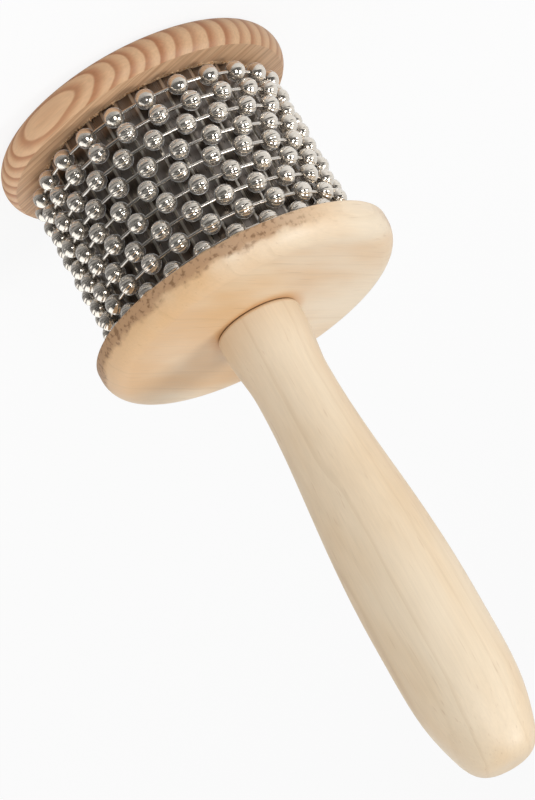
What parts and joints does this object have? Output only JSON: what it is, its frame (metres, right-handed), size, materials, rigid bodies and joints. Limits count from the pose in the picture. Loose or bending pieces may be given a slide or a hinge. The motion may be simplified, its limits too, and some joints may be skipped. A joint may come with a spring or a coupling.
{
  "type": "cabasa",
  "caption": "Hand percussion cabasa: steel bead chain loops that turn on a fluted steel sleeve between two wooden discs, on a turned wooden handle.",
  "frame": {"origin": "centre of the end disc's flat outer face, on which the cabasa stands head down", "axes": "+Z along the head's axis from the end disc to the tip of the handle; -Y is the side that the picture shows"},
  "size_m": [0.076, 0.076, 0.1828],
  "materials": {
    "pine": "bare turned",
    "blond_wood": "satin oiled",
    "core_wood": "bare turned",
    "fluted_steel": "pressed sheet",
    "nickel_steel": "nickel plated",
    "screw_steel": "zinc plated"
  },
  "bodies": {
    "head_and_handle": {"handle": "blond_wood", "handle_disc": "blond_wood", "core_drum": "core_wood", "fluted_sleeve": "fluted_steel", "end_disc": "pine", "head_screw": "screw_steel"},
    "bead_loop_1": {"loop_1_beads": "nickel_steel", "loop_1_links": "nickel_steel"},
    "bead_loop_2": {"loop_2_beads": "nickel_steel", "loop_2_links": "nickel_steel"},
    "bead_loop_3": {"loop_3_beads": "nickel_steel", "loop_3_links": "nickel_steel"},
    "bead_loop_4": {"loop_4_beads": "nickel_steel", "loop_4_links": "nickel_steel"},
    "bead_loop_5": {"loop_5_beads": "nickel_steel", "loop_5_links": "nickel_steel"},
    "bead_loop_6": {"loop_6_beads": "nickel_steel", "loop_6_links": "nickel_steel"},
    "bead_loop_7": {"loop_7_beads": "nickel_steel", "loop_7_links": "nickel_steel"},
    "bead_loop_8": {"loop_8_beads": "nickel_steel", "loop_8_links": "nickel_steel"},
    "bead_loop_9": {"loop_9_beads": "nickel_steel", "loop_9_links": "nickel_steel"}
  },
  "joints": [
    {"name": "bead_loop_1_turn", "type": "hinge", "parent": "head_and_handle", "child": "bead_loop_1", "pos_m": [0, 0, 0.0131], "axis": [0, 0, 1], "continuous": true},
    {"name": "bead_loop_2_turn", "type": "hinge", "parent": "head_and_handle", "child": "bead_loop_2", "pos_m": [0, 0, 0.018], "axis": [0, 0, 1], "continuous": true},
    {"name": "bead_loop_3_turn", "type": "hinge", "parent": "head_and_handle", "child": "bead_loop_3", "pos_m": [0, 0, 0.0229], "axis": [0, 0, 1], "continuous": true},
    {"name": "bead_loop_4_turn", "type": "hinge", "parent": "head_and_handle", "child": "bead_loop_4", "pos_m": [0, 0, 0.0278], "axis": [0, 0, 1], "continuous": true},
    {"name": "bead_loop_5_turn", "type": "hinge", "parent": "head_and_handle", "child": "bead_loop_5", "pos_m": [0, 0, 0.0327], "axis": [0, 0, 1], "continuous": true},
    {"name": "bead_loop_6_turn", "type": "hinge", "parent": "head_and_handle", "child": "bead_loop_6", "pos_m": [0, 0, 0.0376], "axis": [0, 0, 1], "continuous": true},
    {"name": "bead_loop_7_turn", "type": "hinge", "parent": "head_and_handle", "child": "bead_loop_7", "pos_m": [0, 0, 0.0425], "axis": [0, 0, 1], "continuous": true},
    {"name": "bead_loop_8_turn", "type": "hinge", "parent": "head_and_handle", "child": "bead_loop_8", "pos_m": [0, 0, 0.0474], "axis": [0, 0, 1], "continuous": true},
    {"name": "bead_loop_9_turn", "type": "hinge", "parent": "head_and_handle", "child": "bead_loop_9", "pos_m": [0, 0, 0.0523], "axis": [0, 0, 1], "continuous": true}
  ]
}
